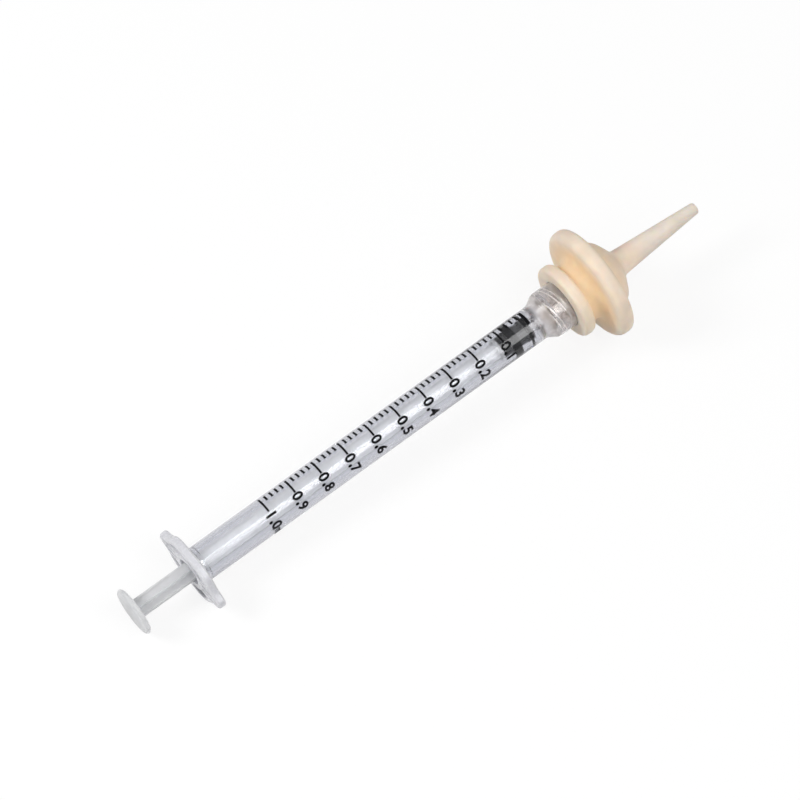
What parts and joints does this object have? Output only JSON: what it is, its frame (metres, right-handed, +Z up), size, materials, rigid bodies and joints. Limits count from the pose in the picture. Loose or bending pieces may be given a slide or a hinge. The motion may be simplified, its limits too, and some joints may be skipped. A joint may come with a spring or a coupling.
{
  "type": "pet feeding syringe",
  "caption": "Small clear oral syringe with an oval finger flange, cross-section plunger with black rubber stopper, and a soft nursing nipple pushed over its locking collar.",
  "frame": {"origin": "on the surface that the syringe lies on, under the middle of its box", "axes": "+X along the syringe seen from above, towards the nipple; +Y along the finger flange's wings; +Z up. The syringe's own axis climbs 3.36 degrees towards +X."},
  "size_m": [0.1256, 0.0218, 0.0219],
  "materials": {
    "clear_plastic": "clear, polished, slightly grey",
    "milky_plastic": "translucent white-grey, satin",
    "black_rubber": "smooth black, satin",
    "cream_silicone": "cream, translucent, satin"
  },
  "bodies": {
    "barrel": {"barrel": "clear_plastic"},
    "stopper": {"plunger_stopper": "black_rubber"},
    "rod": {"plunger_rod": "milky_plastic"},
    "nipple": {"nipple": "cream_silicone"}
  },
  "joints": [
    {"name": "plunger_slide", "type": "slide", "parent": "barrel", "child": "stopper", "axis": [-0.9983, 0, -0.0585], "range_m": [0, 0.06664]},
    {"name": "rod_turn", "type": "hinge", "parent": "stopper", "child": "rod", "pos_m": [0.01799, 0, 0.00972], "axis": [0.9983, 0, 0.0585], "continuous": true},
    {"name": "nipple_pull", "type": "slide", "parent": "barrel", "child": "nipple", "axis": [0.9983, 0, 0.0585], "range_m": [0, 0.012]}
  ]
}
